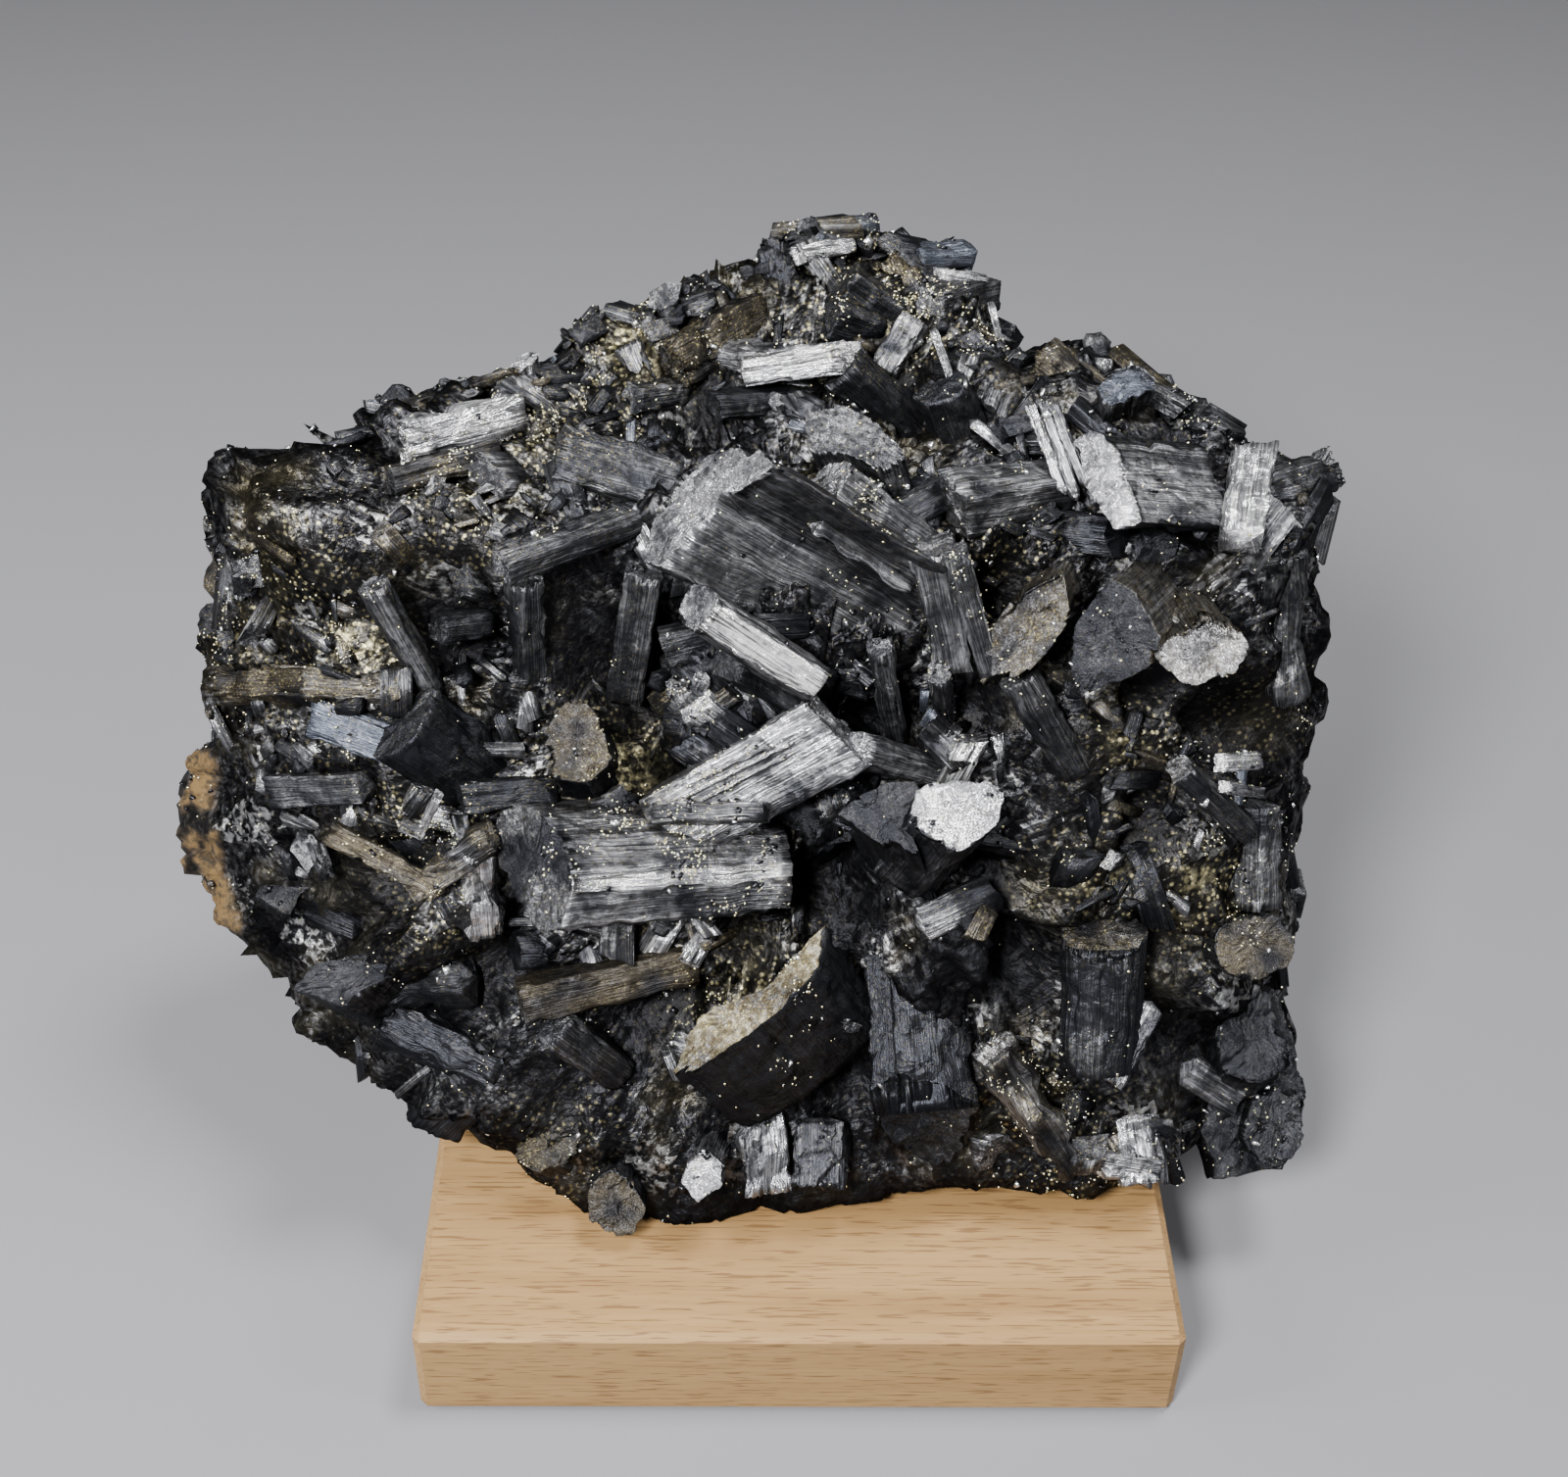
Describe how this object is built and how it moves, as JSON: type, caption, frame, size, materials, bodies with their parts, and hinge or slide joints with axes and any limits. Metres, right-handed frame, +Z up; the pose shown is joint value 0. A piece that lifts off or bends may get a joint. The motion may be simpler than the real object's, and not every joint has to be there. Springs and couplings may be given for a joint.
{
  "type": "enargite specimen",
  "caption": "Rough cluster of dark metallic prismatic crystals dusted with fine pyrite, standing on a square pale wood block.",
  "frame": {"origin": "centre of the wood block's underside", "axes": "+Z up, +X to the specimen's right as its displayed face is looked at, -Y out of the displayed face"},
  "size_m": [0.2049, 0.1474, 0.1478],
  "materials": {
    "pale_wood": "sanded, unvarnished, fine straight grain",
    "enargite": "metallic, striated crystal faces with bright cleavages and dull pits",
    "pyrite": "metallic pale gold grains",
    "limonite": "earthy, matt yellow-brown crust"
  },
  "bodies": {
    "root": {"wood_block": "pale_wood", "enargite_cluster": "enargite"}
  },
  "joints": []
}
